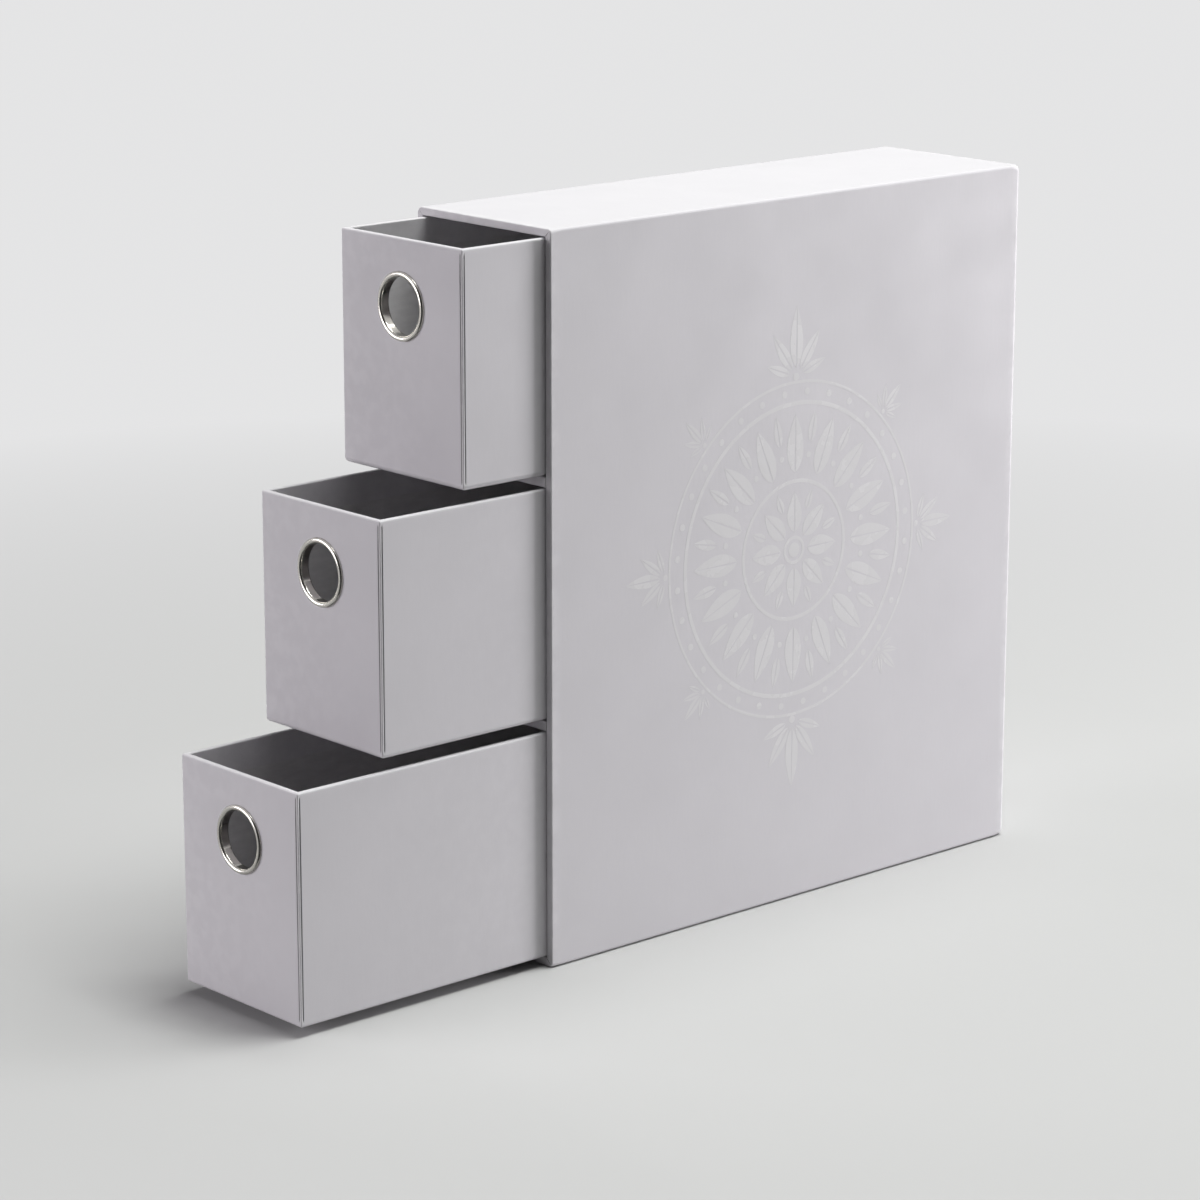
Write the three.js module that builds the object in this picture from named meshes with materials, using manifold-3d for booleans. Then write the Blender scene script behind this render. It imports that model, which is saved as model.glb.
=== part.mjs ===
import * as THREE from 'three';
import { mergeVertices } from 'three/addons/utils/BufferGeometryUtils.js';
import Module from 'manifold-3d';

const wasm = await Module();
wasm.setup();

// Card drawer box: a tall case of paper-wrapped greyboard that holds three open drawers.
// Millimetres. +X is the right side, the drawers slide out towards -Y and +Z is up.
// The origin is the middle of the face that the case stands on.

// Case
const caseWidth = 83;
const caseHeight = 310;
const caseDepth = 277.5;
const wallBoard = 3; // greyboard of the sides, top, bottom and back
const shelfBoard = 4; // greyboard that a drawer runs on
const caseCornerRadius = 2.8; // long edges from mouth to back
const mouthEdgeRadius = 0.5; // edges round the mouth
const backEdgeRadius = 2.5; // edges round the back

// Papers and glue
const paper = 0.15;
const glueLine = 0.05;
const baseSheet = 0.3;
const mouthTurnIn = 12; // depth of the wrap turned in at the mouth
const backTurnOver = 15; // width of the wrap turned over the back
const sheetMargin = 3; // base sheet and back paper stop this far from the edges
const mitreSlit = 0.25; // open seam where two turned edges meet
const mitreStop = 1.4; // the seam ends this far from the sharp outer corner
const seamGap = 0.3; // between a turned edge and the lining that meets it

// Drawers
const drawerNames = ['bottom', 'middle', 'top'];
const drawerBoard = 2;
const drawerCornerRadius = 1.2; // upright edges
const rimRadius = 0.8; // rounding over the rim
const footRadius = 2; // rounding of the edges round the bottom
const sideGap = 0.35; // drawer to bay, each side
const runningGap = 0.45; // under the drawer
const headroom = 0.45; // over the drawer
const backGap = 0.5; // behind a closed drawer
const pullStep = 43; // each drawer is drawn out this much further than the one above it

// Finger hole eyelet
const eyeletBore = 24;
const eyeletSheet = 0.35;
const flangeRoll = 1.15; // radius of the rolled flange outside the drawer
const rearCurl = 0.8; // radius of the curl that clinches the washer
const eyeletDrop = 27.5; // centre of the hole below the rim
const eyeletPlay = 0.15; // barrel to board
const washerRim = 2.2; // width of the washer ring
const washerThickness = 0.4;
const washerMargin = 0.5; // lining left over the washer, up to the turned-down wrap

// Cutting and facets
const overrun = 1; // how far a cutter passes the face that it opens
const cornerFacets = 4; // round a quarter turn
const edgeFacets = 2;
const eyeletFacets = 36; // round a whole turn
const flangeFacets = 7; // over the roll
const curlFacets = 4;

// Layers, from the outside in
const outerSkin = paper + glueLine;
const innerSkin = glueLine + paper;
const caseWall = outerSkin + wallBoard + innerSkin;
const wrapBottom = baseSheet + glueLine;
const caseFloor = wrapBottom + caseWall;
const shelfStack = 2 * innerSkin + shelfBoard;
const drawerWall = outerSkin + drawerBoard + innerSkin;

// Case places
const mouthY = -caseDepth / 2;
const backY = caseDepth / 2;
const wrapBackY = backY - outerSkin;
const boardBackY = wrapBackY - outerSkin;
const bayBackY = boardBackY - wallBoard - innerSkin;
const bayWidth = caseWidth - 2 * caseWall;
const drawerCount = drawerNames.length;
const clearHeight = caseHeight - caseWall - caseFloor;
const bayHeight = (clearHeight - (drawerCount - 1) * shelfStack) / drawerCount;

// Drawer sizes, from the bay that it runs in
const drawerWidth = bayWidth - 2 * sideGap;
const drawerHeight = bayHeight - runningGap - headroom;
const drawerLength = bayBackY - backGap - mouthY;
const cardWidth = drawerWidth - 2 * drawerWall;
const cardLength = drawerLength - 2 * drawerWall;
const holeRadius = eyeletBore / 2 + eyeletSheet + eyeletPlay;
const holeHeight = drawerHeight - eyeletDrop;
// Depth of the wrap turned down inside the rim, so that the eyelet clinches on the lining alone
const rimTurnIn = eyeletDrop - holeRadius - washerRim - washerMargin - seamGap;

// Materials
const finish = (color, roughness, metalness) => new THREE.MeshStandardMaterial({ color, roughness, metalness });
const greyboard = finish(0x9b958c, 0.95, 0);
const wrapPaper = finish(0xe4e2e6, 0.55, 0);
const liningPaper = finish(0x9a989c, 0.8, 0);
const nickel = finish(0xc9c5bd, 0.2, 1);
const steel = finish(0xb4b4b0, 0.35, 1);

// Solids
function solidOf(geometry) {
  const bare = geometry.clone();
  bare.deleteAttribute('normal');
  bare.deleteAttribute('uv');
  const merged = mergeVertices(bare);
  return new wasm.Manifold(new wasm.Mesh({
    numProp: 3,
    vertProperties: new Float32Array(merged.attributes.position.array),
    triVerts: new Uint32Array(merged.index.array),
  }));
}

function geometryOf(solid) {
  const mesh = solid.getMesh();
  const geometry = new THREE.BufferGeometry();
  geometry.setAttribute('position', new THREE.BufferAttribute(mesh.vertProperties, 3));
  geometry.setIndex(new THREE.BufferAttribute(mesh.triVerts, 1));
  geometry.computeVertexNormals();
  return geometry;
}

// A block is given by its lowest and highest corner
function blockGeometry(low, high) {
  const size = high.map((value, axis) => value - low[axis]);
  const geometry = new THREE.BoxGeometry(...size);
  return geometry.translate(...low.map((value, axis) => value + size[axis] / 2));
}

const block = (low, high) => solidOf(blockGeometry(low, high));

function roundedOutline(left, right, low, high, radius) {
  const outline = new THREE.Shape();
  outline.moveTo(left + radius, low);
  outline.lineTo(right - radius, low);
  outline.absarc(right - radius, low + radius, radius, -Math.PI / 2, 0);
  outline.lineTo(right, high - radius);
  outline.absarc(right - radius, high - radius, radius, 0, Math.PI / 2);
  outline.lineTo(left + radius, high);
  outline.absarc(left + radius, high - radius, radius, Math.PI / 2, Math.PI);
  outline.lineTo(left, low + radius);
  outline.absarc(left + radius, low + radius, radius, Math.PI, 1.5 * Math.PI);
  return outline;
}

// An outline drawn out along +Z from 0 to length, its two end edges rounded
function roundedBar(outline, length, edgeRadius, facets) {
  return new THREE.ExtrudeGeometry(outline, {
    depth: length - 2 * edgeRadius,
    bevelThickness: edgeRadius,
    bevelSize: edgeRadius,
    bevelOffset: -edgeRadius,
    bevelSegments: facets,
    curveSegments: cornerFacets,
  }).translate(0, 0, edgeRadius);
}

// An outline drawn out along +Y, its own Y up, between two places
function barAlongY(outline, low, high) {
  const bar = new THREE.ExtrudeGeometry(outline, {
    depth: high - low, bevelEnabled: false, curveSegments: cornerFacets,
  });
  return bar.rotateX(Math.PI / 2).translate(0, high, 0);
}

// A thin cut from one point to another, through a sheet whose face looks along facing
function seamCut(from, to, facing, depth) {
  const start = new THREE.Vector3(...from);
  const along = new THREE.Vector3(...to).sub(start);
  const length = along.length();
  const middle = start.clone().addScaledVector(along, 1 / 2);
  along.normalize();
  const through = new THREE.Vector3(...facing);
  const across = new THREE.Vector3().crossVectors(along, through);
  const turn = new THREE.Matrix4().makeBasis(along, through, across);
  const geometry = new THREE.BoxGeometry(length, depth, mitreSlit);
  return solidOf(geometry.applyMatrix4(turn.setPosition(middle)));
}

function ring(radiusIn, radiusOut, low, high) {
  const profile = [[radiusIn, low], [radiusOut, low], [radiusOut, high], [radiusIn, high], [radiusIn, low]];
  return new THREE.LatheGeometry(profile.map((point) => new THREE.Vector2(...point)), eyeletFacets);
}

function piece(name, geometry, material) {
  const mesh = new THREE.Mesh(geometry, material);
  mesh.name = name;
  return mesh;
}

// Case

// The whole outside of the case, drawn in by inset on every side: where a bar that is rounded at
// the mouth and runs past the back meets one that is rounded at the back and runs past the mouth
function caseForm(inset) {
  const half = caseWidth / 2 - inset;
  const outline = roundedOutline(-half, half, wrapBottom + inset, caseHeight - inset, caseCornerRadius - inset);
  const past = backEdgeRadius + overrun;
  const length = wrapBackY - mouthY - 2 * inset + past;
  const back = wrapBackY - inset;
  const mouthBar = roundedBar(outline, length, mouthEdgeRadius - inset, edgeFacets).rotateX(Math.PI / 2);
  const backBar = roundedBar(outline, length, backEdgeRadius - inset, cornerFacets).rotateX(Math.PI / 2);
  return solidOf(mouthBar.translate(0, back + past, 0)).intersect(solidOf(backBar.translate(0, back, 0)));
}

const boardForm = caseForm(outerSkin);
const caseBoard = (low, high) => geometryOf(block(low, high).intersect(boardForm));

function caseBoards() {
  const sideIn = bayWidth / 2 + innerSkin;
  const sideOut = caseWidth / 2;
  const between = sideIn - glueLine;
  const floorTop = caseFloor - innerSkin;
  const ceiling = caseHeight - caseWall + innerSkin;
  const backIn = bayBackY + innerSkin;
  const front = backIn - glueLine;
  return [
    piece('case_left_board', caseBoard([-sideOut, mouthY, 0], [-sideIn, backY, caseHeight]), greyboard),
    piece('case_right_board', caseBoard([sideIn, mouthY, 0], [sideOut, backY, caseHeight]), greyboard),
    piece('case_top_board', caseBoard([-between, mouthY, ceiling], [between, front, caseHeight]), greyboard),
    piece('case_bottom_board', caseBoard([-between, mouthY, 0], [between, front, floorTop]), greyboard),
    piece('case_back_board', caseBoard([-between, backIn, 0], [between, backY, caseHeight]), greyboard),
  ];
}

// Height of the floor that a drawer runs over
const bayFloor = (index) => caseFloor + index * (bayHeight + shelfStack);

function shelfBoards() {
  const half = bayWidth / 2 + innerSkin - glueLine;
  const back = bayBackY + innerSkin - glueLine;
  return ['lower', 'upper'].map((name, index) => {
    const top = bayFloor(index + 1) - innerSkin;
    return piece(`${name}_shelf_board`, caseBoard([-half, mouthY, top - shelfBoard], [half, back, top]), greyboard);
  });
}

// Paper folded round the front edge of a shelf
function shelfPapers() {
  const half = bayWidth / 2 - glueLine;
  const foldBack = mouthY + mouthTurnIn;
  return ['lower', 'upper'].map((name, index) => {
    const top = bayFloor(index + 1);
    const low = top - shelfStack;
    const outside = block([-half, mouthY, low], [half, foldBack, top]);
    const inside = block([-half - overrun, mouthY + paper, low + paper], [half + overrun, foldBack + overrun, top - paper]);
    return piece(`${name}_shelf_edge_paper`, geometryOf(outside.subtract(inside)), wrapPaper);
  });
}

// Seams from the corners of an opening towards the corners of the case
function caseMitres(openHalf, openLow, openHigh, faceY, stop) {
  const half = caseWidth / 2 - stop;
  const low = wrapBottom + stop;
  const high = caseHeight - stop;
  const start = openHalf - overrun;
  const cuts = [-1, 1].flatMap((side) => [
    seamCut([side * start, faceY, openLow + overrun], [side * half, faceY, low], [0, 1, 0], 2 * outerSkin),
    seamCut([side * start, faceY, openHigh - overrun], [side * half, faceY, high], [0, 1, 0], 2 * outerSkin),
  ]);
  return wasm.Manifold.union(cuts);
}

// The wrap turned in over the mouth lies flat on the walls and is slit at the shelves
function mouthSleeve() {
  const half = bayWidth / 2;
  const ceiling = caseHeight - caseWall;
  const foldBack = mouthY + mouthTurnIn;
  const outside = block([-half - paper, mouthY, caseFloor - paper], [half + paper, foldBack, ceiling + paper]);
  const inside = block([-half, mouthY - overrun, caseFloor], [half, foldBack + overrun, ceiling]);
  let sleeve = outside.subtract(inside);
  for (let index = 1; index < drawerCount; index += 1) {
    const top = bayFloor(index);
    sleeve = sleeve.subtract(block(
      [-half - overrun, mouthY + paper, top - shelfStack],
      [half + overrun, foldBack + overrun, top],
    ));
  }
  return sleeve;
}

function caseWrap() {
  const half = bayWidth / 2;
  const ceiling = caseHeight - caseWall;
  const rearHalf = caseWidth / 2 - backTurnOver;
  const rearLow = wrapBottom + backTurnOver;
  const rearHigh = caseHeight - backTurnOver;
  const mouth = block([-half, mouthY - overrun, caseFloor], [half, mouthY + overrun, ceiling]);
  const rear = block([-rearHalf, wrapBackY - overrun, rearLow], [rearHalf, wrapBackY + overrun, rearHigh]);
  const wrap = caseForm(0).subtract(caseForm(paper)).subtract(mouth).subtract(rear).add(mouthSleeve())
    .subtract(caseMitres(half, caseFloor, ceiling, mouthY, mitreStop))
    .subtract(caseMitres(rearHalf, rearLow, rearHigh, wrapBackY, backEdgeRadius + mitreStop));
  return piece('case_wrap', geometryOf(wrap), wrapPaper);
}

function pastedSheets() {
  const half = caseWidth / 2 - sheetMargin;
  const front = mouthY + sheetMargin;
  const base = blockGeometry([-half, front, 0], [half, wrapBackY - sheetMargin, baseSheet]);
  const back = blockGeometry(
    [-half, backY - paper, wrapBottom + sheetMargin],
    [half, backY, caseHeight - sheetMargin],
  );
  return [piece('case_base_sheet', base, wrapPaper), piece('case_back_paper', back, wrapPaper)];
}

function bayLinings() {
  const half = bayWidth / 2;
  const front = mouthY + mouthTurnIn + seamGap;
  return drawerNames.map((name, index) => {
    const floor = bayFloor(index);
    const ceiling = floor + bayHeight;
    const outside = block([-half - paper, front, floor - paper], [half + paper, bayBackY + paper, ceiling + paper]);
    const inside = block([-half, front - overrun, floor], [half, bayBackY, ceiling]);
    return piece(`${name}_bay_lining`, geometryOf(outside.subtract(inside)), liningPaper);
  });
}

// Drawer, drawn with its front at Y 0 and its underside at Z 0

// The whole outside of a drawer, drawn in by inset on every side: an upright bar with a rounded rim,
// cut by two lying bars whose lower edges are the rounded edges round the bottom
function drawerForm(inset) {
  const half = drawerWidth / 2 - inset;
  const back = drawerLength - inset;
  const plan = roundedOutline(-half, half, inset, back, drawerCornerRadius - inset);
  const upright = roundedBar(plan, drawerHeight - 2 * inset, rimRadius - inset, edgeFacets).translate(0, 0, inset);
  const above = drawerHeight + footRadius;
  const frontView = roundedOutline(-half, half, inset, above, footRadius - inset);
  const sideView = roundedOutline(-back, -inset, inset, above, footRadius - inset);
  const lengthways = barAlongY(frontView, -overrun, drawerLength + overrun);
  const crossways = barAlongY(sideView, -drawerWidth, drawerWidth).rotateZ(-Math.PI / 2);
  return solidOf(upright).intersect(solidOf(lengthways)).intersect(solidOf(crossways));
}

const drawerBoardForm = drawerForm(outerSkin);
const drawerBlock = (low, high) => block(low, high).intersect(drawerBoardForm);

function fingerHole() {
  const reach = drawerWall + overrun;
  const bore = new THREE.CylinderGeometry(holeRadius, holeRadius, 2 * reach, eyeletFacets);
  return solidOf(bore.translate(0, 0, holeHeight));
}

const fingerBore = fingerHole();

function drawerBoards(name) {
  const wallIn = cardWidth / 2 + innerSkin;
  const wallOut = drawerWidth / 2;
  const between = wallIn - glueLine;
  const frontIn = drawerWall - innerSkin;
  const backIn = drawerLength - frontIn;
  const floorTop = drawerWall - innerSkin;
  const sideFront = frontIn + glueLine;
  const sideBack = backIn - glueLine;
  const front = drawerBlock([-wallOut, 0, 0], [wallOut, frontIn, drawerHeight]).subtract(fingerBore);
  const back = drawerBlock([-wallOut, backIn, 0], [wallOut, drawerLength, drawerHeight]);
  const left = drawerBlock([-wallOut, sideFront, 0], [-wallIn, sideBack, drawerHeight]);
  const right = drawerBlock([wallIn, sideFront, 0], [wallOut, sideBack, drawerHeight]);
  const bottom = drawerBlock([-between, sideFront, 0], [between, sideBack, floorTop]);
  const boards = { front, back, left, right, bottom };
  return Object.entries(boards).map(([side, solid]) => (
    piece(`${name}_drawer_${side}_board`, geometryOf(solid), greyboard)
  ));
}

function rimMitres() {
  const inX = cardWidth / 2 - overrun;
  const outX = drawerWidth / 2 - mitreStop;
  const inY = drawerWall + overrun;
  const ends = [[inY, mitreStop], [drawerLength - inY, drawerLength - mitreStop]];
  const cuts = [-1, 1].flatMap((side) => ends.map(([startY, endY]) => (
    seamCut([side * inX, startY, drawerHeight], [side * outX, endY, drawerHeight], [0, 0, 1], 2 * outerSkin)
  )));
  return wasm.Manifold.union(cuts);
}

function drawerWrap() {
  const half = cardWidth / 2;
  const backIn = drawerLength - drawerWall;
  const foldEnd = drawerHeight - rimTurnIn;
  const mouth = block([-half, drawerWall, drawerHeight - overrun], [half, backIn, drawerHeight + overrun]);
  const outside = block([-half - paper, drawerWall - paper, foldEnd], [half + paper, backIn + paper, drawerHeight]);
  const inside = block([-half, drawerWall, foldEnd - overrun], [half, backIn, drawerHeight + overrun]);
  const turnedIn = outside.subtract(inside);
  const skin = drawerForm(0).subtract(drawerForm(paper)).subtract(mouth).add(turnedIn);
  return skin.subtract(rimMitres()).subtract(fingerBore);
}

function drawerLining() {
  const half = cardWidth / 2;
  const backIn = drawerLength - drawerWall;
  const top = drawerHeight - rimTurnIn - seamGap;
  const outside = block([-half - paper, drawerWall - paper, drawerWall - paper], [half + paper, backIn + paper, top]);
  const inside = block([-half, drawerWall, drawerWall], [half, backIn, top + overrun]);
  return outside.subtract(inside).subtract(fingerBore);
}

// Points on half a turn about (centre, height), from the inner side to the outer side
function halfTurn(centre, height, radius, facing, steps) {
  return Array.from({ length: steps + 1 }, (_, step) => {
    const angle = Math.PI - (Math.PI * step) / steps;
    return new THREE.Vector2(centre + radius * Math.cos(angle), height + facing * radius * Math.sin(angle));
  });
}

// Sheet metal rolled over the front face, through the wall and curled over the washer
function eyelet() {
  const bore = eyeletBore / 2;
  const frontY = -glueLine;
  const rearY = drawerWall + glueLine + washerThickness + glueLine;
  const flange = bore + flangeRoll;
  const curl = bore + rearCurl;
  const profile = [
    ...halfTurn(flange, frontY, flangeRoll, -1, flangeFacets).reverse(),
    ...halfTurn(curl, rearY, rearCurl, 1, curlFacets),
    ...halfTurn(curl, rearY, rearCurl - eyeletSheet, 1, curlFacets).reverse(),
    ...halfTurn(flange, frontY, flangeRoll - eyeletSheet, -1, curlFacets),
  ];
  profile.push(profile[0].clone());
  return new THREE.LatheGeometry(profile.reverse(), eyeletFacets).translate(0, 0, holeHeight);
}

function eyeletWasher() {
  const front = drawerWall + glueLine;
  return ring(holeRadius, holeRadius + washerRim, front, front + washerThickness).translate(0, 0, holeHeight);
}

function drawer(name, index) {
  const group = new THREE.Group();
  const pull = pullStep * (drawerCount - index);
  group.position.set(0, mouthY - pull, bayFloor(index) + runningGap);
  group.add(
    ...drawerBoards(name),
    piece(`${name}_drawer_wrap`, geometryOf(drawerWrap()), wrapPaper),
    piece(`${name}_drawer_lining`, geometryOf(drawerLining()), liningPaper),
    piece(`${name}_drawer_eyelet`, eyelet(), nickel),
    piece(`${name}_drawer_eyelet_washer`, eyeletWasher(), steel),
  );
  return group;
}

const box = new THREE.Group();
box.add(...caseBoards(), ...shelfBoards(), ...shelfPapers(), ...pastedSheets(), caseWrap(), ...bayLinings());
drawerNames.forEach((name, index) => box.add(drawer(name, index)));

export default box;
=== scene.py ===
import math

import bmesh
import bpy
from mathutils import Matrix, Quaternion, Vector


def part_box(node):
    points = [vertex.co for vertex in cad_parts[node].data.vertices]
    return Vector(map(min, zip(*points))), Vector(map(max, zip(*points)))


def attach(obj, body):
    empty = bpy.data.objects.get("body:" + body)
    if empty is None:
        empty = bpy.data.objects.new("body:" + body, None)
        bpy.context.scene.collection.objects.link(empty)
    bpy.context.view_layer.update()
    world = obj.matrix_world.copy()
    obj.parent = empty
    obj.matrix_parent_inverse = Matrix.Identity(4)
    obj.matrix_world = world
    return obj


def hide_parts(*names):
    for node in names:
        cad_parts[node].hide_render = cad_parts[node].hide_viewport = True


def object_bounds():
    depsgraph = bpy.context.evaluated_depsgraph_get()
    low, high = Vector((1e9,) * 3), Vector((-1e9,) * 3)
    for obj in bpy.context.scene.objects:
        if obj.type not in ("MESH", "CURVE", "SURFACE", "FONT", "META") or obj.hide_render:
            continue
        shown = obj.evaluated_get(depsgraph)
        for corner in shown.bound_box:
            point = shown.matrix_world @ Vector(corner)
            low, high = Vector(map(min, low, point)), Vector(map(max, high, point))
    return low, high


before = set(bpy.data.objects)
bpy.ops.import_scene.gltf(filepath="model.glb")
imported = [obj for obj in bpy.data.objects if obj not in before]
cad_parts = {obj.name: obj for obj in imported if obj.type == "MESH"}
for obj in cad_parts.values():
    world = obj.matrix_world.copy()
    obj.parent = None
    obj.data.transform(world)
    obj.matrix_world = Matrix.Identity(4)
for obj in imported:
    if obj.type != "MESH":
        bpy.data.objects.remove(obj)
cadLow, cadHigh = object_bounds()
mm = 0.001
scene = bpy.context.scene
drawerNames = ["bottom", "middle", "top"]
print("frame loaded:", len(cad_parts), "pieces of the box")


# Camera, seen from the front right and a little above

cameraSet = {
    "turn": 47.911,  # degrees round from straight in front
    "tilt": 14.192,  # degrees down
    "roll": 0.046,
    "aim": (-0.0233, -0.0536, 0.13165),
    "distance": 1.7395,
    "lens": 120.4,
    "film": 36,
    "clip": (0.05, 60),
}


def placeCamera(s):
    turn, tilt = math.radians(s["turn"]), math.radians(s["tilt"])
    back = Vector((math.sin(turn) * math.cos(tilt), -math.cos(turn) * math.cos(tilt), math.sin(tilt)))
    data = bpy.data.cameras.new("camera")
    data.lens = s["lens"]
    data.sensor_width = s["film"]
    data.clip_start, data.clip_end = s["clip"]
    camera = bpy.data.objects.new("camera", data)
    camera.location = Vector(s["aim"]) + back * s["distance"]
    camera.rotation_mode = "QUATERNION"
    roll = Quaternion((0, 0, 1), math.radians(s["roll"]))
    camera.rotation_quaternion = (-back).to_track_quat("-Z", "Y") @ roll
    scene.collection.objects.link(camera)
    scene.camera = camera


placeCamera(cameraSet)
scene.view_settings.view_transform = "Standard"
print("camera placed")


# Finishes

def newFinish(name):
    material = bpy.data.materials.new(name)
    material.use_nodes = True
    tree = material.node_tree
    shader = next(n for n in tree.nodes if n.type == "BSDF_PRINCIPLED")
    place = tree.nodes.new("ShaderNodeTexCoord").outputs["Object"]
    return material, tree, shader, place


def noise(tree, place, scale, detail=2.0, stretch=None, roughness=0.5):
    if stretch:
        squeeze = tree.nodes.new("ShaderNodeMapping")
        squeeze.inputs["Scale"].default_value = stretch
        tree.links.new(place, squeeze.inputs["Vector"])
        place = squeeze.outputs["Vector"]
    grain = tree.nodes.new("ShaderNodeTexNoise")
    grain.inputs["Scale"].default_value = scale
    grain.inputs["Detail"].default_value = detail
    grain.inputs["Roughness"].default_value = roughness
    tree.links.new(place, grain.inputs["Vector"])
    return grain.outputs["Fac"]


def sums(tree, a, b, how="ADD", amount=None):
    node = tree.nodes.new("ShaderNodeMath")
    node.operation = how
    tree.links.new(a, node.inputs[0])
    if amount is None:
        tree.links.new(b, node.inputs[1])
    else:
        node.inputs[1].default_value = amount
    return node.outputs[0]


def spread(tree, value, low, high, fromLow=0.3, fromHigh=0.7):
    node = tree.nodes.new("ShaderNodeMapRange")
    for key, number in (("From Min", fromLow), ("From Max", fromHigh), ("To Min", low), ("To Max", high)):
        node.inputs[key].default_value = number
    tree.links.new(value, node.inputs["Value"])
    return node.outputs["Result"]


def blend(tree, share, colorA, colorB):
    node = tree.nodes.new("ShaderNodeMix")
    node.data_type = "RGBA"
    tree.links.new(share, node.inputs["Factor"])
    ends = [socket for socket in node.inputs if socket.type == "RGBA"]
    for socket, color in zip(ends, (colorA, colorB)):
        if isinstance(color, tuple):
            socket.default_value = (*color, 1)
        else:
            tree.links.new(color, socket)
    return next(socket for socket in node.outputs if socket.type == "RGBA")


def raised(tree, shader, height, strength, depth):
    bump = tree.nodes.new("ShaderNodeBump")
    bump.inputs["Strength"].default_value = strength
    bump.inputs["Distance"].default_value = depth
    tree.links.new(height, bump.inputs["Height"])
    tree.links.new(bump.outputs["Normal"], shader.inputs["Normal"])


def edgeMark(tree):
    # above 0 where an edge is lighter, partly rubbed wear and partly painted highlight; below 0 in a
    # crease, painted shade
    mark = tree.nodes.new("ShaderNodeAttribute")
    mark.attribute_name = "edge"
    return mark.outputs["Fac"]


wrapFinish = {
    "color": (0.606, 0.592, 0.622),
    "cloud": (0.588, 0.575, 0.604),  # faint cloudiness of the sheet
    "rubbedHighlight": (0.80, 0.79, 0.81),  # edges, lighter where the film is rubbed and where a highlight is painted
    # painted shade in the bottoms of the drawers' corner grooves
    "crease": (0.13, 0.127, 0.133),
    "roughness": (0.50, 0.60),
    "cloudNoise": (28, 4),  # scale, detail, stretch
    "fibreNoise": (700, 3, (1, 1, 0.25)),
    "toothNoise": (2600, 2),
    "edgeMottleNoise": (160, 4),
    "cloudFade": (0.35, 0.65),
    "fibreShare": 0.35,
    "fibreHeight": 1.2,
    "edgeLightShare": (0.15, 0.8),
    "edgeLightFade": (0.42, 0.62),
    "tooth": 0.06 * mm,
    "toothStrength": 0.35,
    "ior": 1.46,
}


def makeWrapFinish(s):
    material, tree, shader, place = newFinish("laminated_paper")
    cloud = noise(tree, place, *s["cloudNoise"])
    fibre = noise(tree, place, *s["fibreNoise"])
    tooth = noise(tree, place, *s["toothNoise"])
    edgeMottle = noise(tree, place, *s["edgeMottleNoise"])
    color = blend(tree, spread(tree, cloud, 0, 1, *s["cloudFade"]), s["color"], s["cloud"])
    color = blend(tree, spread(tree, fibre, 0, s["fibreShare"]), color, s["cloud"])
    mark = edgeMark(tree)
    # edges take the lighter colour, partly rubbed wear and partly painted highlight, mottled by noise
    rubAndHighlight = sums(tree, mark, spread(tree, edgeMottle, *s["edgeLightShare"], *s["edgeLightFade"]), "MULTIPLY")
    color = blend(tree, rubAndHighlight, color, s["rubbedHighlight"])
    # painted shade where the mark is below 0, in the corner grooves
    color = blend(tree, sums(tree, mark, None, "MULTIPLY", -1), color, s["crease"])
    tree.links.new(color, shader.inputs["Base Color"])
    tree.links.new(spread(tree, cloud, *s["roughness"]), shader.inputs["Roughness"])
    height = sums(tree, tooth, spread(tree, fibre, 0, s["fibreHeight"], 0, 1))
    raised(tree, shader, height, s["toothStrength"], s["tooth"])
    shader.inputs["IOR"].default_value = s["ior"]
    return material


liningFinish = {
    "color": (0.64, 0.63, 0.645),
    "fleck": (0.56, 0.55, 0.565),
    "roughness": (0.78, 0.92),
    "fibreNoise": (420, 5, (1, 0.3, 1)),
    "fleckNoise": (1500, 2),
    "fibreShare": 0.8,
    "fibreFade": (0.35, 0.7),
    "fleckShare": 0.5,
    "fleckFade": (0.6, 0.75),
    "tooth": 0.10 * mm,
    "toothStrength": 0.5,
}


def makeLiningFinish(s):
    material, tree, shader, place = newFinish("lining_paper")
    fibre = noise(tree, place, *s["fibreNoise"])
    fleck = noise(tree, place, *s["fleckNoise"])
    color = blend(tree, spread(tree, fibre, 0, s["fibreShare"], *s["fibreFade"]), s["color"], s["fleck"])
    color = blend(tree, spread(tree, fleck, 0, s["fleckShare"], *s["fleckFade"]), color, s["fleck"])
    tree.links.new(color, shader.inputs["Base Color"])
    tree.links.new(spread(tree, fibre, *s["roughness"]), shader.inputs["Roughness"])
    raised(tree, shader, sums(tree, fibre, fleck), s["toothStrength"], s["tooth"])
    return material


boardFinish = {
    "color": (0.36, 0.34, 0.31),
    "fibre": (0.23, 0.22, 0.20),
    "roughness": (0.85, 0.98),
    "pulpNoise": (320, 6, None, 0.65),  # the last one is its roughness
    "plyNoise": (900, 2, (1, 0.2, 1)),
    "tooth": 0.2 * mm,
    "toothStrength": 0.8,
}


def makeBoardFinish(s):
    material, tree, shader, place = newFinish("greyboard")
    pulp = noise(tree, place, *s["pulpNoise"])
    ply = noise(tree, place, *s["plyNoise"])
    color = blend(tree, spread(tree, pulp, 0, 1), s["color"], s["fibre"])
    tree.links.new(color, shader.inputs["Base Color"])
    tree.links.new(spread(tree, ply, *s["roughness"]), shader.inputs["Roughness"])
    raised(tree, shader, sums(tree, pulp, ply), s["toothStrength"], s["tooth"])
    return material


nickelFinish = {
    "color": (0.55, 0.53, 0.495),
    "dull": (0.46, 0.445, 0.415),
    "roughness": (0.13, 0.22),
    "roughFade": (0.7, 1.3),
    "dullShare": 0.6,
    "hazeNoise": (240, 4),
    "hairNoise": (900, 3, (0.2, 1, 1)),
    "hair": 0.01 * mm,
    "hairStrength": 0.05,
}


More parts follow.
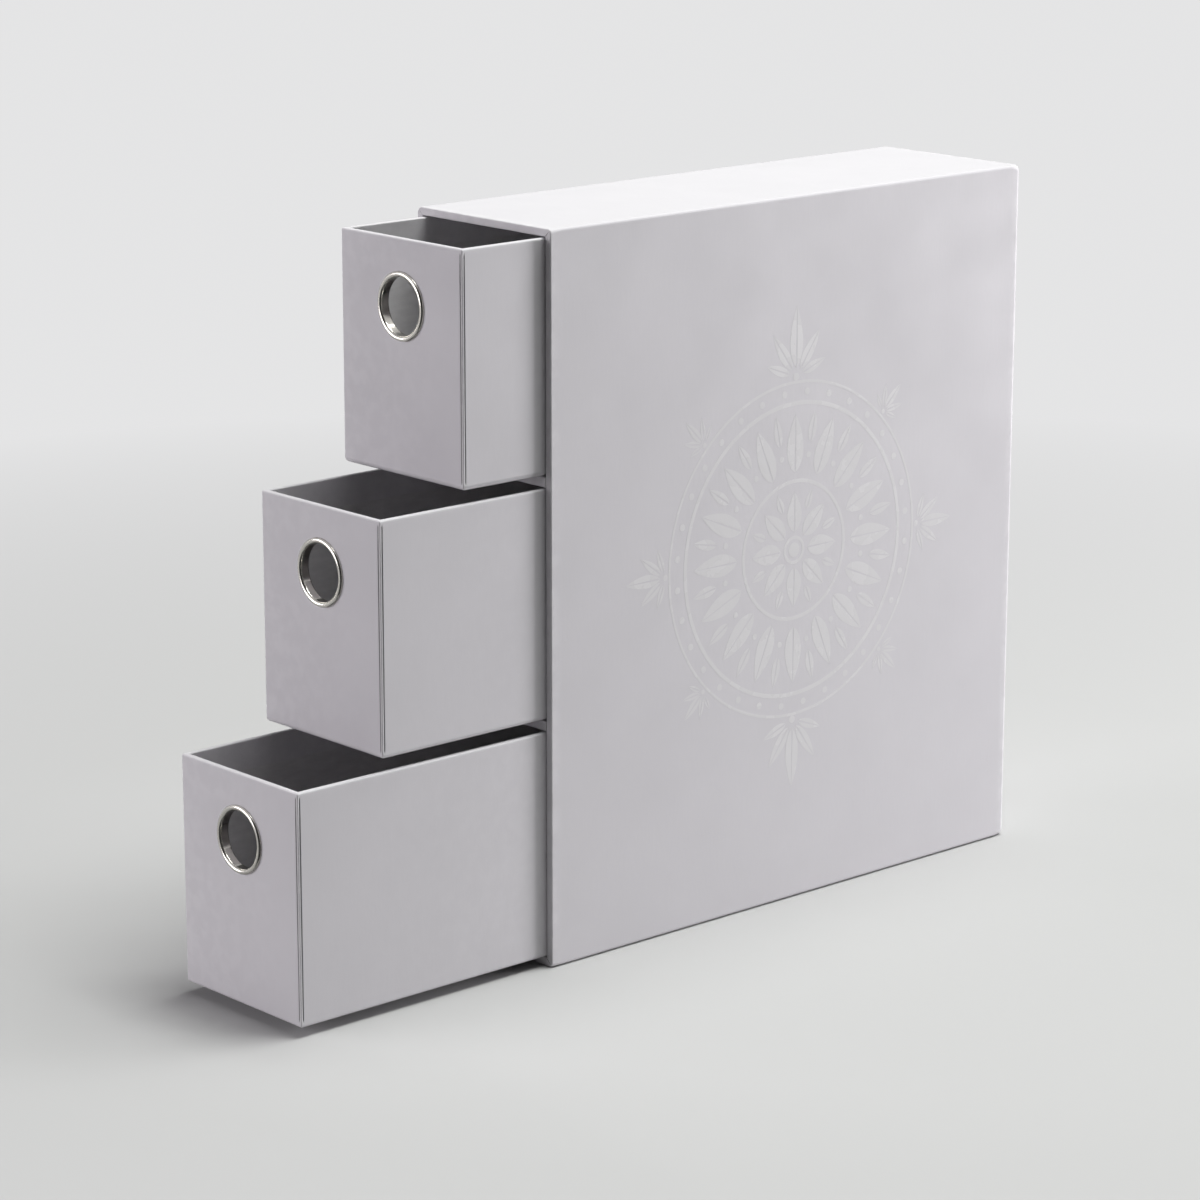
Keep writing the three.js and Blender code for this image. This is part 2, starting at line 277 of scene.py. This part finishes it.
def makeNickelFinish(s):
    material, tree, shader, place = newFinish("nickel_plate")
    haze = noise(tree, place, *s["hazeNoise"])
    hair = noise(tree, place, *s["hairNoise"])
    color = blend(tree, spread(tree, haze, 0, s["dullShare"]), s["color"], s["dull"])
    tree.links.new(color, shader.inputs["Base Color"])
    rough = spread(tree, sums(tree, haze, hair), *s["roughness"], *s["roughFade"])
    tree.links.new(rough, shader.inputs["Roughness"])
    raised(tree, shader, hair, s["hairStrength"], s["hair"])
    shader.inputs["Metallic"].default_value = 1
    return material


washerFinish = {
    "color": (0.56, 0.56, 0.545),
    "dull": (0.47, 0.47, 0.46),
    "roughness": (0.26, 0.42),
    "hazeNoise": (500, 4),
    "haze": 0.02 * mm,
    "hazeStrength": 0.2,
}


def makeWasherFinish(s):
    material, tree, shader, place = newFinish("washer_steel")
    haze = noise(tree, place, *s["hazeNoise"])
    tree.links.new(blend(tree, haze, s["color"], s["dull"]), shader.inputs["Base Color"])
    tree.links.new(spread(tree, haze, *s["roughness"]), shader.inputs["Roughness"])
    raised(tree, shader, haze, s["hazeStrength"], s["haze"])
    shader.inputs["Metallic"].default_value = 1
    return material


filmFinish = {
    "color": (0.700, 0.692, 0.708),
    "thin": (0.682, 0.674, 0.690),
    "roughness": (0.20, 0.32),
    "flowNoise": (90, 3),
    "grainNoise": (1400, 2),
    "grain": 0.03 * mm,
    "grainStrength": 0.12,
}


def makeFilmFinish(s):
    material, tree, shader, place = newFinish("gloss_film")
    flow = noise(tree, place, *s["flowNoise"])
    grain = noise(tree, place, *s["grainNoise"])
    color = blend(tree, spread(tree, flow, 0, 1), s["color"], s["thin"])
    tree.links.new(color, shader.inputs["Base Color"])
    tree.links.new(spread(tree, flow, *s["roughness"]), shader.inputs["Roughness"])
    raised(tree, shader, sums(tree, flow, grain), s["grainStrength"], s["grain"])
    return material


# dark line on the mitres: the paper's cut edge, darkened further with painted shade
seamFinish = {
    "color": (0.10, 0.10, 0.105),
    "lint": (0.17, 0.165, 0.17),
    "roughness": 0.9,
    "lintNoise": (1200, 3),
    "lintHeight": 0.05 * mm,
    "lintStrength": 0.4,
}


def makeSeamFinish(s):
    material, tree, shader, place = newFinish("paper_seam_and_shade")
    lint = noise(tree, place, *s["lintNoise"])
    color = blend(tree, spread(tree, lint, 0, 1), s["color"], s["lint"])
    tree.links.new(color, shader.inputs["Base Color"])
    shader.inputs["Roughness"].default_value = s["roughness"]
    raised(tree, shader, lint, s["lintStrength"], s["lintHeight"])
    return material


wrapPaper = makeWrapFinish(wrapFinish)
liningPaper = makeLiningFinish(liningFinish)
greyboard = makeBoardFinish(boardFinish)
nickel = makeNickelFinish(nickelFinish)
washerSteel = makeWasherFinish(washerFinish)
glossFilm = makeFilmFinish(filmFinish)
seamShade = makeSeamFinish(seamFinish)
print("finishes made")


# CAD pieces that show as they are take their finish by name

def nodeFinish(name):
    if name.endswith("lining"):
        return liningPaper
    if name.endswith("board"):
        return greyboard
    if name.endswith("washer"):
        return washerSteel
    return nickel if name.endswith("eyelet") else wrapPaper


for name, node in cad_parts.items():
    node.data.materials.clear()
    node.data.materials.append(nodeFinish(name))


# Meshes

paperThickness = 0.15 * mm
sharpFrom = 38  # degrees between two faces
evenWeight = 100


def addPiece(name, mesh, material, body, replaced=(), thickness=0, smooth=True):
    data = bpy.data.meshes.new(name)
    mesh.to_mesh(data)
    mesh.free()
    if smooth:
        data.shade_smooth()
        data.set_sharp_from_angle(angle=math.radians(sharpFrom))
    piece = bpy.data.objects.new(name, data)
    data.materials.append(material)
    scene.collection.objects.link(piece)
    if thickness:  # laid on the inner side of the sheet
        sheet = piece.modifiers.new("sheet", "SOLIDIFY")
        sheet.thickness = thickness
        sheet.offset = -1
    if smooth:
        even = piece.modifiers.new("even_faces", "WEIGHTED_NORMAL")
        even.keep_sharp = True
        even.weight = evenWeight
    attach(piece, body)
    if replaced:
        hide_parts(*replaced)


def loftRings(mesh, rings, edges, closed=True, skip=()):
    # faces between rings of points, and each ring's mark in the layer "edge": rubbed wear and painted
    # highlight above 0, painted shade below 0
    mark = mesh.verts.layers.float.get("edge") or mesh.verts.layers.float.new("edge")
    made = []
    for ring, edge in zip(rings, edges):
        row = [mesh.verts.new(point) for point in ring]
        for k, vert in enumerate(row):
            vert[mark] = edge[k] if isinstance(edge, list) else edge
        made.append(row)
    for index, (rowA, rowB) in enumerate(zip(made, made[1:])):
        count = len(rowA)
        for k in range(count if closed else count - 1):
            if (index, k) in skip:
                continue
            mesh.faces.new((rowA[k], rowA[(k + 1) % count], rowB[(k + 1) % count], rowB[k]))
    return made


def quarter(centreA, centreB, radius, startDegrees, steps):
    angles = [math.radians(startDegrees + 90 * k / steps) for k in range(steps + 1)]
    return [(centreA + radius * math.cos(a), centreB + radius * math.sin(a)) for a in angles]


def quarterTurns(steps):
    return [math.radians(90 * k / steps) for k in range(steps + 1)]


def fullTurn(steps):
    return [2 * math.pi * k / steps for k in range(steps)]


# Case wrap: one sheet round the outside, turned in at the mouth and over the back

caseWrap = {
    "soft": 2.8 * mm,  # left long edges
    "crisp": {"mouth": 1.9 * mm, "middle": 1.3 * mm, "back": 2.6 * mm},  # right ones, blunter at the ends
    "leastCorner": 0.12 * mm,
    "bluntRun": 6 * mm,  # how far the blunter ends reach
    "mouthEdge": 0.5 * mm,
    "backEdge": 2.5 * mm,
    "innerEdge": 0.45 * mm,
    "wall": 3.4 * mm,
    "turnIn": 12 * mm,
    "backFold": 15 * mm,
    "steps": 8,
    "seam": (0.10 * mm, 0.26 * mm),  # left and right corners
    "seamLift": 0.012 * mm,
    "seamInset": 0.3 * mm,  # what the mouth's seams keep from the inner edge
    "mouthSeamStop": (1.3 * mm, 1.1 * mm),
    "backSeamStop": 3.6 * mm,
    # how far the edges take the lighter colour: rubbed wear and painted highlight
    "edgeRubHighlight": 0.35,
    "innerRubHighlight": 0.2,
}


def caseRing(low, high, inset, y, place, s):
    soft = max(s["soft"] - inset, s["leastCorner"])
    crisp = max(s["crisp"][place] - inset, s["leastCorner"])
    left, right = low.x + inset, high.x - inset
    bottom, top = low.z + inset, high.z - inset
    points = []
    for a, b, radius, start in (
        (right - crisp, bottom + crisp, crisp, -90),
        (right - crisp, top - crisp, crisp, 0),
        (left + soft, top - soft, soft, 90),
        (left + soft, bottom + soft, soft, 180),
    ):
        points += quarter(a, b, radius, start, s["steps"])
    return [Vector((a, y, b)) for a, b in points]


def makeCaseWrap(s):
    low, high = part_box("case_wrap")
    mouth, back, inner = s["mouthEdge"], s["backEdge"], s["innerEdge"]
    innerStart = s["wall"] - inner
    profile = [(s["backFold"], high.y, 0, "back")]  # inset, y, edge lightening (rubbed wear and painted highlight), place
    for a in quarterTurns(s["steps"]):
        y = high.y - back + back * math.cos(a)
        profile.append((back - back * math.sin(a), y, s["edgeRubHighlight"], "back"))
    profile.append((0, high.y - s["bluntRun"], 0, "middle"))
    profile.append((0, low.y + s["bluntRun"], 0, "middle"))
    for a in quarterTurns(s["steps"]):
        y = low.y + mouth - mouth * math.sin(a)
        profile.append((mouth - mouth * math.cos(a), y, s["edgeRubHighlight"], "mouth"))
    for a in quarterTurns(s["steps"]):
        y = low.y + inner - inner * math.cos(a)
        profile.append((innerStart + inner * math.sin(a), y, s["innerRubHighlight"], "mouth"))
    profile.append((s["wall"], low.y + s["turnIn"], 0, "mouth"))
    mesh = bmesh.new()
    rings = [caseRing(low, high, inset, y, place, s) for inset, y, edge, place in profile]
    loftRings(mesh, rings, [edge for inset, y, edge, place in profile])
    bmesh.ops.recalc_face_normals(mesh, faces=mesh.faces)
    addPiece("case_wrap_paper", mesh, wrapPaper, "case", ["case_wrap"], paperThickness)


# dark strips on the mouth's and back's mitres, partly the paper's cut edge and partly painted shade
def makeMitreSeams(s):
    low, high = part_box("case_wrap")
    mesh = bmesh.new()
    mesh.verts.layers.float.new("edge")
    lift = s["seamLift"]
    for y, stops, reach in (
        (low.y - lift, s["mouthSeamStop"], s["wall"] - s["seamInset"]),
        (high.y + lift, (s["backSeamStop"],) * 2, s["backFold"]),
    ):
        for sideX in (-1, 1):
            for sideZ in (-1, 1):
                cornerX = high.x if sideX > 0 else low.x
                cornerZ = high.z if sideZ > 0 else low.z
                stop = stops[sideX > 0]
                start = Vector((cornerX - sideX * stop, y, cornerZ - sideZ * stop))
                end = Vector((cornerX - sideX * reach, y, cornerZ - sideZ * reach))
                half = s["seam"][sideX > 0] / 2
                across = (end - start).normalized().cross(Vector((0, 1, 0))) * half
                corners = [start - across / 2, end - across, end + across, start + across / 2]
                mesh.faces.new([mesh.verts.new(p) for p in corners])
    bmesh.ops.recalc_face_normals(mesh, faces=mesh.faces)
    addPiece("case_mitre_seams", mesh, seamShade, "case", thickness=lift, smooth=False)


makeCaseWrap(caseWrap)
makeMitreSeams(caseWrap)
print("case wrap folded")


# Shelf edge papers: a strip folded round the front of each shelf

shelfPaper = {"edge": 0.55 * mm, "steps": 6, "edgeRubHighlight": 0.35}


def makeShelfPaper(name, s):
    low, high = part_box(name)
    edge = s["edge"]
    y, upper, lower = low.y + edge, high.z - edge, low.z + edge
    profile = [(high.y, high.z, 0)]  # y, z, edge lightening (rubbed wear and painted highlight)
    for a in quarterTurns(s["steps"]):
        profile.append((y - edge * math.sin(a), upper + edge * math.cos(a), s["edgeRubHighlight"]))
    for a in quarterTurns(s["steps"]):
        profile.append((y - edge * math.cos(a), lower - edge * math.sin(a), s["edgeRubHighlight"]))
    profile.append((high.y, low.z, 0))
    mesh = bmesh.new()
    rings = [[Vector((x, y, z)) for x in (low.x, 0, high.x)] for y, z, mark in profile]
    loftRings(mesh, rings, [mark for y, z, mark in profile], closed=False)
    bmesh.ops.recalc_face_normals(mesh, faces=mesh.faces)
    addPiece(name + "_fold", mesh, wrapPaper, "case", [name], paperThickness)


for shelf in ("lower_shelf_edge_paper", "upper_shelf_edge_paper"):
    makeShelfPaper(shelf, shelfPaper)
print("shelf papers folded")


# Drawer wraps: walls and bottom in one sheet, rolled over the rim, joined at the front right corner

drawerWrap = {
    "corner": 0.45 * mm,
    "leastCorner": 0.1 * mm,
    "bottomInset": 12 * mm,  # the ring that closes the bottom
    "rim": 0.8 * mm,
    "foot": {"bottom": 1.4 * mm, "middle": 2.0 * mm, "top": 2.4 * mm},
    "rimInside": 0.55 * mm,
    "wall": 2.4 * mm,
    "crease": (0.78 * mm, 1.5 * mm),  # grooves beside the bead on the joined corner
    "creaseDepth": 0.18 * mm,
    "creaseTop": 1.4 * mm,  # the grooves start this far under the rim
    "creaseFoot": 2.3 * mm,
    "creaseRun": 1.2 * mm,
    "creaseSlope": 0.2,  # each side's share of the groove's width
    # edge lightening: painted highlight on the joined corner's bead, rubbed wear and painted highlight on
    # rims and corners
    "beadHighlight": 0.4,
    "edgeRubHighlight": 0.15,
    "cornerRubHighlight": 0.25,
    "insideRubHighlight": 0.2,
    "holeRadius": 12.6 * mm,
    "holeSteps": 72,
    "holePatch": 15.2 * mm,
    "steps": 6,
}


def drawerRing(low, high, inset, z, depth, edge, s):
    radius = max(s["corner"] - inset, s["leastCorner"])
    corners = (
        (high.x - inset - radius, low.y + inset + radius, -90),
        (high.x - inset - radius, high.y - inset - radius, 0),
        (low.x + inset + radius, high.y - inset - radius, 90),
        (low.x + inset + radius, low.y + inset + radius, 180),
    )
    near, far = (c - radius for c in s["crease"])
    slope = s["creaseSlope"]
    points, marks = [], []
    for a, b, start in corners:
        arc = [Vector((p, q, z)) for p, q in quarter(a, b, radius, start, s["steps"])]
        if start != -90:  # a plain corner
            points += arc
            marks += [max(edge, s["cornerRubHighlight"])] * len(arc)
            continue
        share = depth / s["creaseDepth"]
        grooves = []
        for end, turn, way in ((arc[0], start, -1), (arc[-1], start + 90, 1)):
            out = Vector((math.cos(math.radians(turn)), math.sin(math.radians(turn)), 0))
            along = Vector((-out.y, out.x, 0)) * way
            grooves.append([
                end + along * near,
                end + along * (near * (1 - slope) + far * slope) - out * depth,
                end + along * (near * slope + far * (1 - slope)) - out * depth,
                end + along * far,
            ])
        points += grooves[0][::-1] + arc + grooves[1]
        # the bead between the grooves gets painted highlight, the groove bottoms painted shade (marks
        # below 0)
        beadLight = max(edge, s["beadHighlight"] * share)
        marks += [edge, -share, -share, beadLight] + [beadLight] * len(arc) + [beadLight, -share, -share, edge]
    return points, marks


def makeDrawerWrap(drawer, s):
    low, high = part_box(drawer + "_drawer_wrap")
    eyeLow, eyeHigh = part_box(drawer + "_drawer_eyelet")
    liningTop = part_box(drawer + "_drawer_lining")[1].z
    holeZ = (eyeLow.z + eyeHigh.z) / 2
    rim, foot, inside = s["rim"], s["foot"][drawer], s["rimInside"]
    insideStart = s["wall"] - inside
    profile = [(s["bottomInset"], low.z, 0, 0)]  # inset, z, depth of the crease, edge lightening (rubbed wear and painted highlight)
    for a in quarterTurns(s["steps"]):
        z = low.z + foot - foot * math.cos(a)
        profile.append((foot - foot * math.sin(a), z, 0, s["edgeRubHighlight"]))
    grooveLow, grooveHigh = low.z + s["creaseFoot"], high.z - s["creaseTop"]
    profile += [
        (0, grooveLow, 0, 0),
        (0, grooveLow + s["creaseRun"], s["creaseDepth"], 0),
        (0, holeZ - s["holePatch"], s["creaseDepth"], 0),
        (0, holeZ + s["holePatch"], s["creaseDepth"], 0),
        (0, grooveHigh - s["creaseRun"], s["creaseDepth"], 0),
        (0, grooveHigh, 0, 0),
    ]
    patchRow = len(profile) - 4  # the row whose front face has the finger hole
    for a in quarterTurns(s["steps"]):
        z = high.z - rim + rim * math.sin(a)
        profile.append((rim - rim * math.cos(a), z, 0, s["edgeRubHighlight"]))
    for a in quarterTurns(s["steps"]):
        z = high.z - inside + inside * math.cos(a)
        profile.append((insideStart + inside * math.sin(a), z, 0, s["insideRubHighlight"]))
    profile.append((s["wall"], liningTop, 0, 0))  # turned in as far as the lining
    mesh = bmesh.new()
    made = [drawerRing(low, high, inset, z, depth, edge, s) for inset, z, depth, edge in profile]
    lastSide = len(made[0][0]) - 1  # the front face closes the ring
    rows = loftRings(mesh, [m[0] for m in made], [m[1] for m in made], skip={(patchRow, lastSide)})
    mesh.faces.new(rows[0])
    lower, upper = rows[patchRow], rows[patchRow + 1]
    outline = [lower[-1], lower[0], upper[0], upper[-1]]
    hole, radius = [], s["holeRadius"]
    for a in fullTurn(s["holeSteps"]):
        hole.append(mesh.verts.new((radius * math.cos(a), low.y, holeZ + radius * math.sin(a))))
    border = []
    for loop in (outline, hole):
        for a, b in zip(loop, loop[1:] + loop[:1]):
            border.append(mesh.edges.get((a, b)) or mesh.edges.new((a, b)))
    bmesh.ops.triangle_fill(mesh, use_beauty=True, edges=border)
    bmesh.ops.recalc_face_normals(mesh, faces=mesh.faces)
    node, body = drawer + "_drawer_wrap", drawer + "_drawer"
    addPiece(node + "_paper", mesh, wrapPaper, body, [node], paperThickness)


for drawer in drawerNames:
    makeDrawerWrap(drawer, drawerWrap)
print("drawer wraps folded")


# Eyelets: plated sheet rolled over the front, and clinched on a washer behind

eyeletShape = {
    "bore": 12.0 * mm,
    "roll": 1.15 * mm,
    "curl": 0.8 * mm,
    "sheet": 0.35 * mm,
    "glue": 0.05 * mm,
    "washerPlay": 0.15 * mm,  # between barrel and washer
    "washerEdge": 0.1 * mm,
    "washerBlunt": 0.3,  # blanked, so one edge is rounder
    "turns": 112,
    "steps": 14,
    "merge": 0.001 * mm,
}


def spin(mesh, profile, centre, s):
    turn = [Vector((math.cos(a), 0, math.sin(a))) for a in fullTurn(s["turns"])]
    rings = [[centre + way * radius + Vector((0, y, 0)) for way in turn] for radius, y in profile]
    loftRings(mesh, rings, [0] * len(rings))
    bmesh.ops.remove_doubles(mesh, verts=mesh.verts, dist=s["merge"])
    bmesh.ops.recalc_face_normals(mesh, faces=mesh.faces)


def makeEyelet(drawer, s):
    low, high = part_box(drawer + "_drawer_eyelet")
    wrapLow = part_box(drawer + "_drawer_wrap")[0]
    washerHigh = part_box(drawer + "_drawer_eyelet_washer")[1]
    centre = Vector((0, wrapLow.y, (low.z + high.z) / 2))
    frontY, rearY = -s["glue"], washerHigh.y - wrapLow.y + s["glue"]
    rollRadius, curlRadius = s["bore"] + s["roll"], s["bore"] + s["curl"]
    halfTurn = [math.pi * k / s["steps"] for k in range(s["steps"] + 1)]
    sides = []  # outside and inside of the sheet, from the flange through the barrel to the curl
    for inset in (0, s["sheet"]):
        roll, curl = s["roll"] - inset, s["curl"] - inset
        side = [(rollRadius + roll * math.cos(a), frontY - roll * math.sin(a)) for a in halfTurn]
        side += [(curlRadius - curl * math.cos(a), rearY + curl * math.sin(a)) for a in halfTurn]
        sides.append(side)
    outside, inside = sides
    mesh = bmesh.new()
    spin(mesh, outside + inside[::-1] + outside[:1], centre, s)
    node = drawer + "_drawer_eyelet"
    addPiece(node + "_ring", mesh, nickel, drawer + "_drawer", [node])


def makeWasher(drawer, s):
    low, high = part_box(drawer + "_drawer_eyelet_washer")
    centre = Vector((0, 0, (low.z + high.z) / 2))
    outer, inner = (high.x - low.x) / 2, s["bore"] + s["sheet"] + s["washerPlay"]
    edge = s["washerEdge"]
    blunt = edge * s["washerBlunt"]
    profile = [
        (inner, low.y),
        (outer - edge, low.y),
        (outer, low.y + edge),
        (outer, high.y - edge),
        (outer - blunt, high.y - blunt),
        (outer - edge, high.y),
        (inner, high.y),
        (inner, low.y),
    ]
    mesh = bmesh.new()
    spin(mesh, profile, centre, s)
    node = drawer + "_drawer_eyelet_washer"
    addPiece(node + "_ring", mesh, washerSteel, drawer + "_drawer", [node])


for drawer in drawerNames:
    makeEyelet(drawer, eyeletShape)
    makeWasher(drawer, eyeletShape)
print("eyelets set")


# Ornament: a leafy medallion in gloss film on the right side panel

ornament = {
    "centre": (0.0, 157 * mm),  # along the case and up
    "lift": 0.03 * mm,
    "leafSteps": 16,
    "leafTip": 0.05,
    "leafBelly": 0.78,  # under 1 the leaf is widest nearer its foot
    "leafRound": 0.85,
    "rib": 0.9,
    "ribTaper": 0.7,
    "ribShare": 0.45,  # the most that the rib takes of the leaf
    "ringSteps": 120,
    "heart": 3.2,
    "heartSteps": 40,
    "beadSteps": 20,
    "tiers": (  # how many, start radius, end radius, half width, turned by half a step
        (8, 8, 25, 4.3, 0),
        (8, 18.5, 27, 1.8, 1),
        (16, 34, 59, 4.8, 0),
        (16, 47, 60.5, 2.3, 1),
    ),
    "rings": ((4.8, 6.2), (29.4, 31.0), (63.2, 65.0), (72.6, 73.8)),
    "beads": ((16, 41.5, 1.3), (32, 68.8, 1.5)),
    "palmettes": ((0, 19), (90, 26), (180, 19), (270, 26), (45, 13), (135, 13), (225, 13), (315, 13)),
    "palmetteFoot": 75.5,
    "palmetteBead": (0.4, 0.05),  # radius, and what it gains with the length
    "palmetteGap": 0.16,
    "palmetteLeaves": ((0, 1.0, 0.145), (36, 0.74, 0.105), (70, 0.54, 0.08)),
}


def filmVert(mesh, a, b, s):
    y0, z0 = s["centre"]
    return mesh.verts.new((cadHigh.x + s["lift"], y0 + a * mm, z0 + b * mm))


def filmStrip(mesh, rows, s):
    verts = [(filmVert(mesh, *inner, s), filmVert(mesh, *outer, s)) for inner, outer in rows]
    for (a, b), (c, d) in zip(verts, verts[1:]):
        mesh.faces.new((a, b, d, c))
    return verts


def addLeaf(mesh, foot, length, width, turn, s):
    steps = s["leafSteps"]
    c, d = math.cos(turn), math.sin(turn)
    for side in (-1, 1):
        rows = []
        for k in range(steps + 1):
            t = k / steps
            belly = max(math.sin(math.pi * t ** s["leafBelly"]), 0)
            swell = s["leafTip"] + width * belly ** s["leafRound"]
            gap = min(s["rib"] / 2 * (1 - s["ribTaper"] * t), s["ribShare"] * swell)
            pair = ((length * t, side * gap), (length * t, side * swell))
            rows.append([(foot[0] + a * c - b * d, foot[1] + a * d + b * c) for a, b in pair])
        filmStrip(mesh, rows, s)


def addRing(mesh, inner, outer, s):
    turn = [(math.cos(t), math.sin(t)) for t in fullTurn(s["ringSteps"])]
    verts = filmStrip(mesh, [[(r * c, r * d) for r in (inner, outer)] for c, d in turn], s)
    mesh.faces.new((*verts[-1], verts[0][1], verts[0][0]))


def addDisc(mesh, a, b, radius, steps, s):
    turn = [(math.cos(t), math.sin(t)) for t in fullTurn(steps)]
    mesh.faces.new([filmVert(mesh, a + radius * c, b + radius * d, s) for c, d in turn])


def makeOrnament(s):
    mesh = bmesh.new()
    mesh.verts.layers.float.new("edge")
    addDisc(mesh, 0, 0, s["heart"], s["heartSteps"], s)
    for inner, outer in s["rings"]:
        addRing(mesh, inner, outer, s)
    for count, start, end, width, offset in s["tiers"]:
        for k in range(count):
            turn = 2 * math.pi * (k + offset / 2) / count
            foot = (start * math.cos(turn), start * math.sin(turn))
            addLeaf(mesh, foot, end - start, width, turn, s)
    for count, reach, radius in s["beads"]:
        for k in range(count):
            a = 2 * math.pi * (k + 0.5) / count
            addDisc(mesh, reach * math.cos(a), reach * math.sin(a), radius, s["beadSteps"], s)
    for degrees, length in s["palmettes"]:
        turn = math.radians(degrees)
        a, b = (s["palmetteFoot"] * way for way in (math.cos(turn), math.sin(turn)))
        bead, gain = s["palmetteBead"]
        gap = s["palmetteGap"] * length
        addDisc(mesh, a, b, gain * length + bead, s["beadSteps"], s)
        for spreadBy, long, wide in s["palmetteLeaves"]:
            for side in ((1,) if spreadBy == 0 else (-1, 1)):
                lean = turn + side * math.radians(spreadBy)
                foot = (a + gap * math.cos(lean), b + gap * math.sin(lean))
                addLeaf(mesh, foot, length * long, length * wide, lean, s)
    for face in mesh.faces:
        face.normal_update()
        if face.normal.x < 0:
            face.normal_flip()
    name, lift = "side_panel_ornament", s["lift"]
    addPiece(name, mesh, glossFilm, "case", thickness=lift, smooth=False)


makeOrnament(ornament)
print("ornament laid")


# Floor, lamps and the air round the box

stageSet = {
    "floor": (0.49, 0.49, 0.495),  # as the camera and the metal see it
    "floorBounce": (0.36, 0.36, 0.36),  # what it throws back on the box
    "far": (0.78, 0.78, 0.785),
    "fade": (0.35, 1.05),  # the lit floor melts into the backdrop between these distances
    "floorHalf": 14,
    "floorGrid": 4,
    "floorRoughness": 0.9,
    "floorGloss": 0.1,
    "airBounce": 0.05,
}


def seenOrMirrored(tree):
    # 1 for what the camera sees, straight or in a mirroring surface
    path = tree.nodes.new("ShaderNodeLightPath").outputs
    mirrored = sums(tree, path["Is Glossy Ray"], path["Is Transmission Ray"], "MAXIMUM")
    return sums(tree, path["Is Camera Ray"], mirrored, "MAXIMUM")


def makeFloor(s):
    mesh = bmesh.new()
    grid = s["floorGrid"]
    bmesh.ops.create_grid(mesh, x_segments=grid, y_segments=grid, size=s["floorHalf"])
    data = bpy.data.meshes.new("floor")
    mesh.to_mesh(data)
    mesh.free()
    floor = bpy.data.objects.new("floor", data)
    floor.location.z = cadLow.z
    scene.collection.objects.link(floor)
    material, tree, shader, place = newFinish("floor_paper")
    seen = seenOrMirrored(tree)
    tree.links.new(blend(tree, seen, s["floorBounce"], s["floor"]), shader.inputs["Base Color"])
    shader.inputs["Roughness"].default_value = s["floorRoughness"]
    shader.inputs["Specular IOR Level"].default_value = s["floorGloss"]
    far = tree.nodes.new("ShaderNodeEmission")
    far.inputs["Color"].default_value = (*s["far"], 1)
    tree.links.new(seen, far.inputs["Strength"])
    reach = tree.nodes.new("ShaderNodeVectorMath")
    reach.operation = "LENGTH"
    tree.links.new(place, reach.inputs[0])
    fade = spread(tree, reach.outputs["Value"], 0, 1, *s["fade"])
    mixer = tree.nodes.new("ShaderNodeMixShader")
    tree.links.new(fade, mixer.inputs[0])
    tree.links.new(shader.outputs[0], mixer.inputs[1])
    tree.links.new(far.outputs[0], mixer.inputs[2])
    surface = next(n for n in tree.nodes if n.type == "OUTPUT_MATERIAL")
    tree.links.new(mixer.outputs[0], surface.inputs["Surface"])
    data.materials.append(material)


lamps = {
    "top": {
        "at": (0.32, 0.42, 2.3),
        "aim": (0, 0, 0.25),
        "size": (1.3, 1.3),
        "power": 70.5,
        "tint": (0.985, 1, 0.965),
    },
    "right": {
        "at": (0.82, 1.67, 0.22),
        "aim": (0.04, 0.12, 0.12),
        "size": (0.8, 0.5),
        "power": 37,
        "tint": (1, 0.98, 1),
    },
    "frontLeft": {
        "at": (-1.15, -1.90, 0.52),
        "aim": (0, -0.2, 0.14),
        "size": (1.5, 0.9),
        "power": 28,
        "tint": (1, 0.96, 0.995),
    },
}


def addLamp(name, s):
    data = bpy.data.lights.new(name, "AREA")
    data.shape = "RECTANGLE"
    data.size, data.size_y = s["size"]
    data.energy = s["power"]
    data.color = s["tint"]
    lamp = bpy.data.objects.new(name, data)
    lamp.location = s["at"]
    lamp.rotation_mode = "QUATERNION"
    lamp.rotation_quaternion = (Vector(s["aim"]) - Vector(s["at"])).to_track_quat("-Z", "Y")
    scene.collection.objects.link(lamp)


def makeAir(s):
    world = bpy.data.worlds.new("air")
    world.use_nodes = True
    scene.world = world
    tree = world.node_tree
    ground = next(n for n in tree.nodes if n.type == "BACKGROUND")
    ground.inputs["Color"].default_value = (*s["far"], 1)
    tree.links.new(spread(tree, seenOrMirrored(tree), s["airBounce"], 1, 0, 1), ground.inputs["Strength"])


darkCard = {
    "centre": (0, -0.22),
    "turn": (-88, -8),  # degrees round from straight right
    "reach": (0.08, 1.25),
    "rise": 2.2,
    "lift": 1 * mm,
    "steps": 12,
    "tone": 0.012,
    "roughness": 0.9,
}


def makeDarkCard(s):
    # lies and stands at the front right, and only shows as the dark lines in the metal
    x0, y0 = s["centre"]
    low = cadLow.z + s["lift"]
    near, far = s["reach"]
    line = ((near, low), (far, low), (far, low + s["rise"]))
    mesh = bmesh.new()
    rows = []
    for k in range(s["steps"] + 1):
        a = math.radians(s["turn"][0] + (s["turn"][1] - s["turn"][0]) * k / s["steps"])
        rows.append([Vector((x0 + r * math.cos(a), y0 + r * math.sin(a), z)) for r, z in line])
    loftRings(mesh, rows, [0] * len(rows), closed=False)
    data = bpy.data.meshes.new("dark_card")
    mesh.to_mesh(data)
    mesh.free()
    card = bpy.data.objects.new("dark_card", data)
    material, tree, shader, place = newFinish("dark_card")
    shader.inputs["Base Color"].default_value = (s["tone"], s["tone"], s["tone"], 1)
    shader.inputs["Roughness"].default_value = s["roughness"]
    data.materials.append(material)
    card.visible_camera = card.visible_diffuse = card.visible_shadow = False
    scene.collection.objects.link(card)


makeFloor(stageSet)
makeDarkCard(darkCard)
makeAir(stageSet)
for name, lamp in lamps.items():
    addLamp(name + "_lamp", lamp)
print("floor and lamps set")
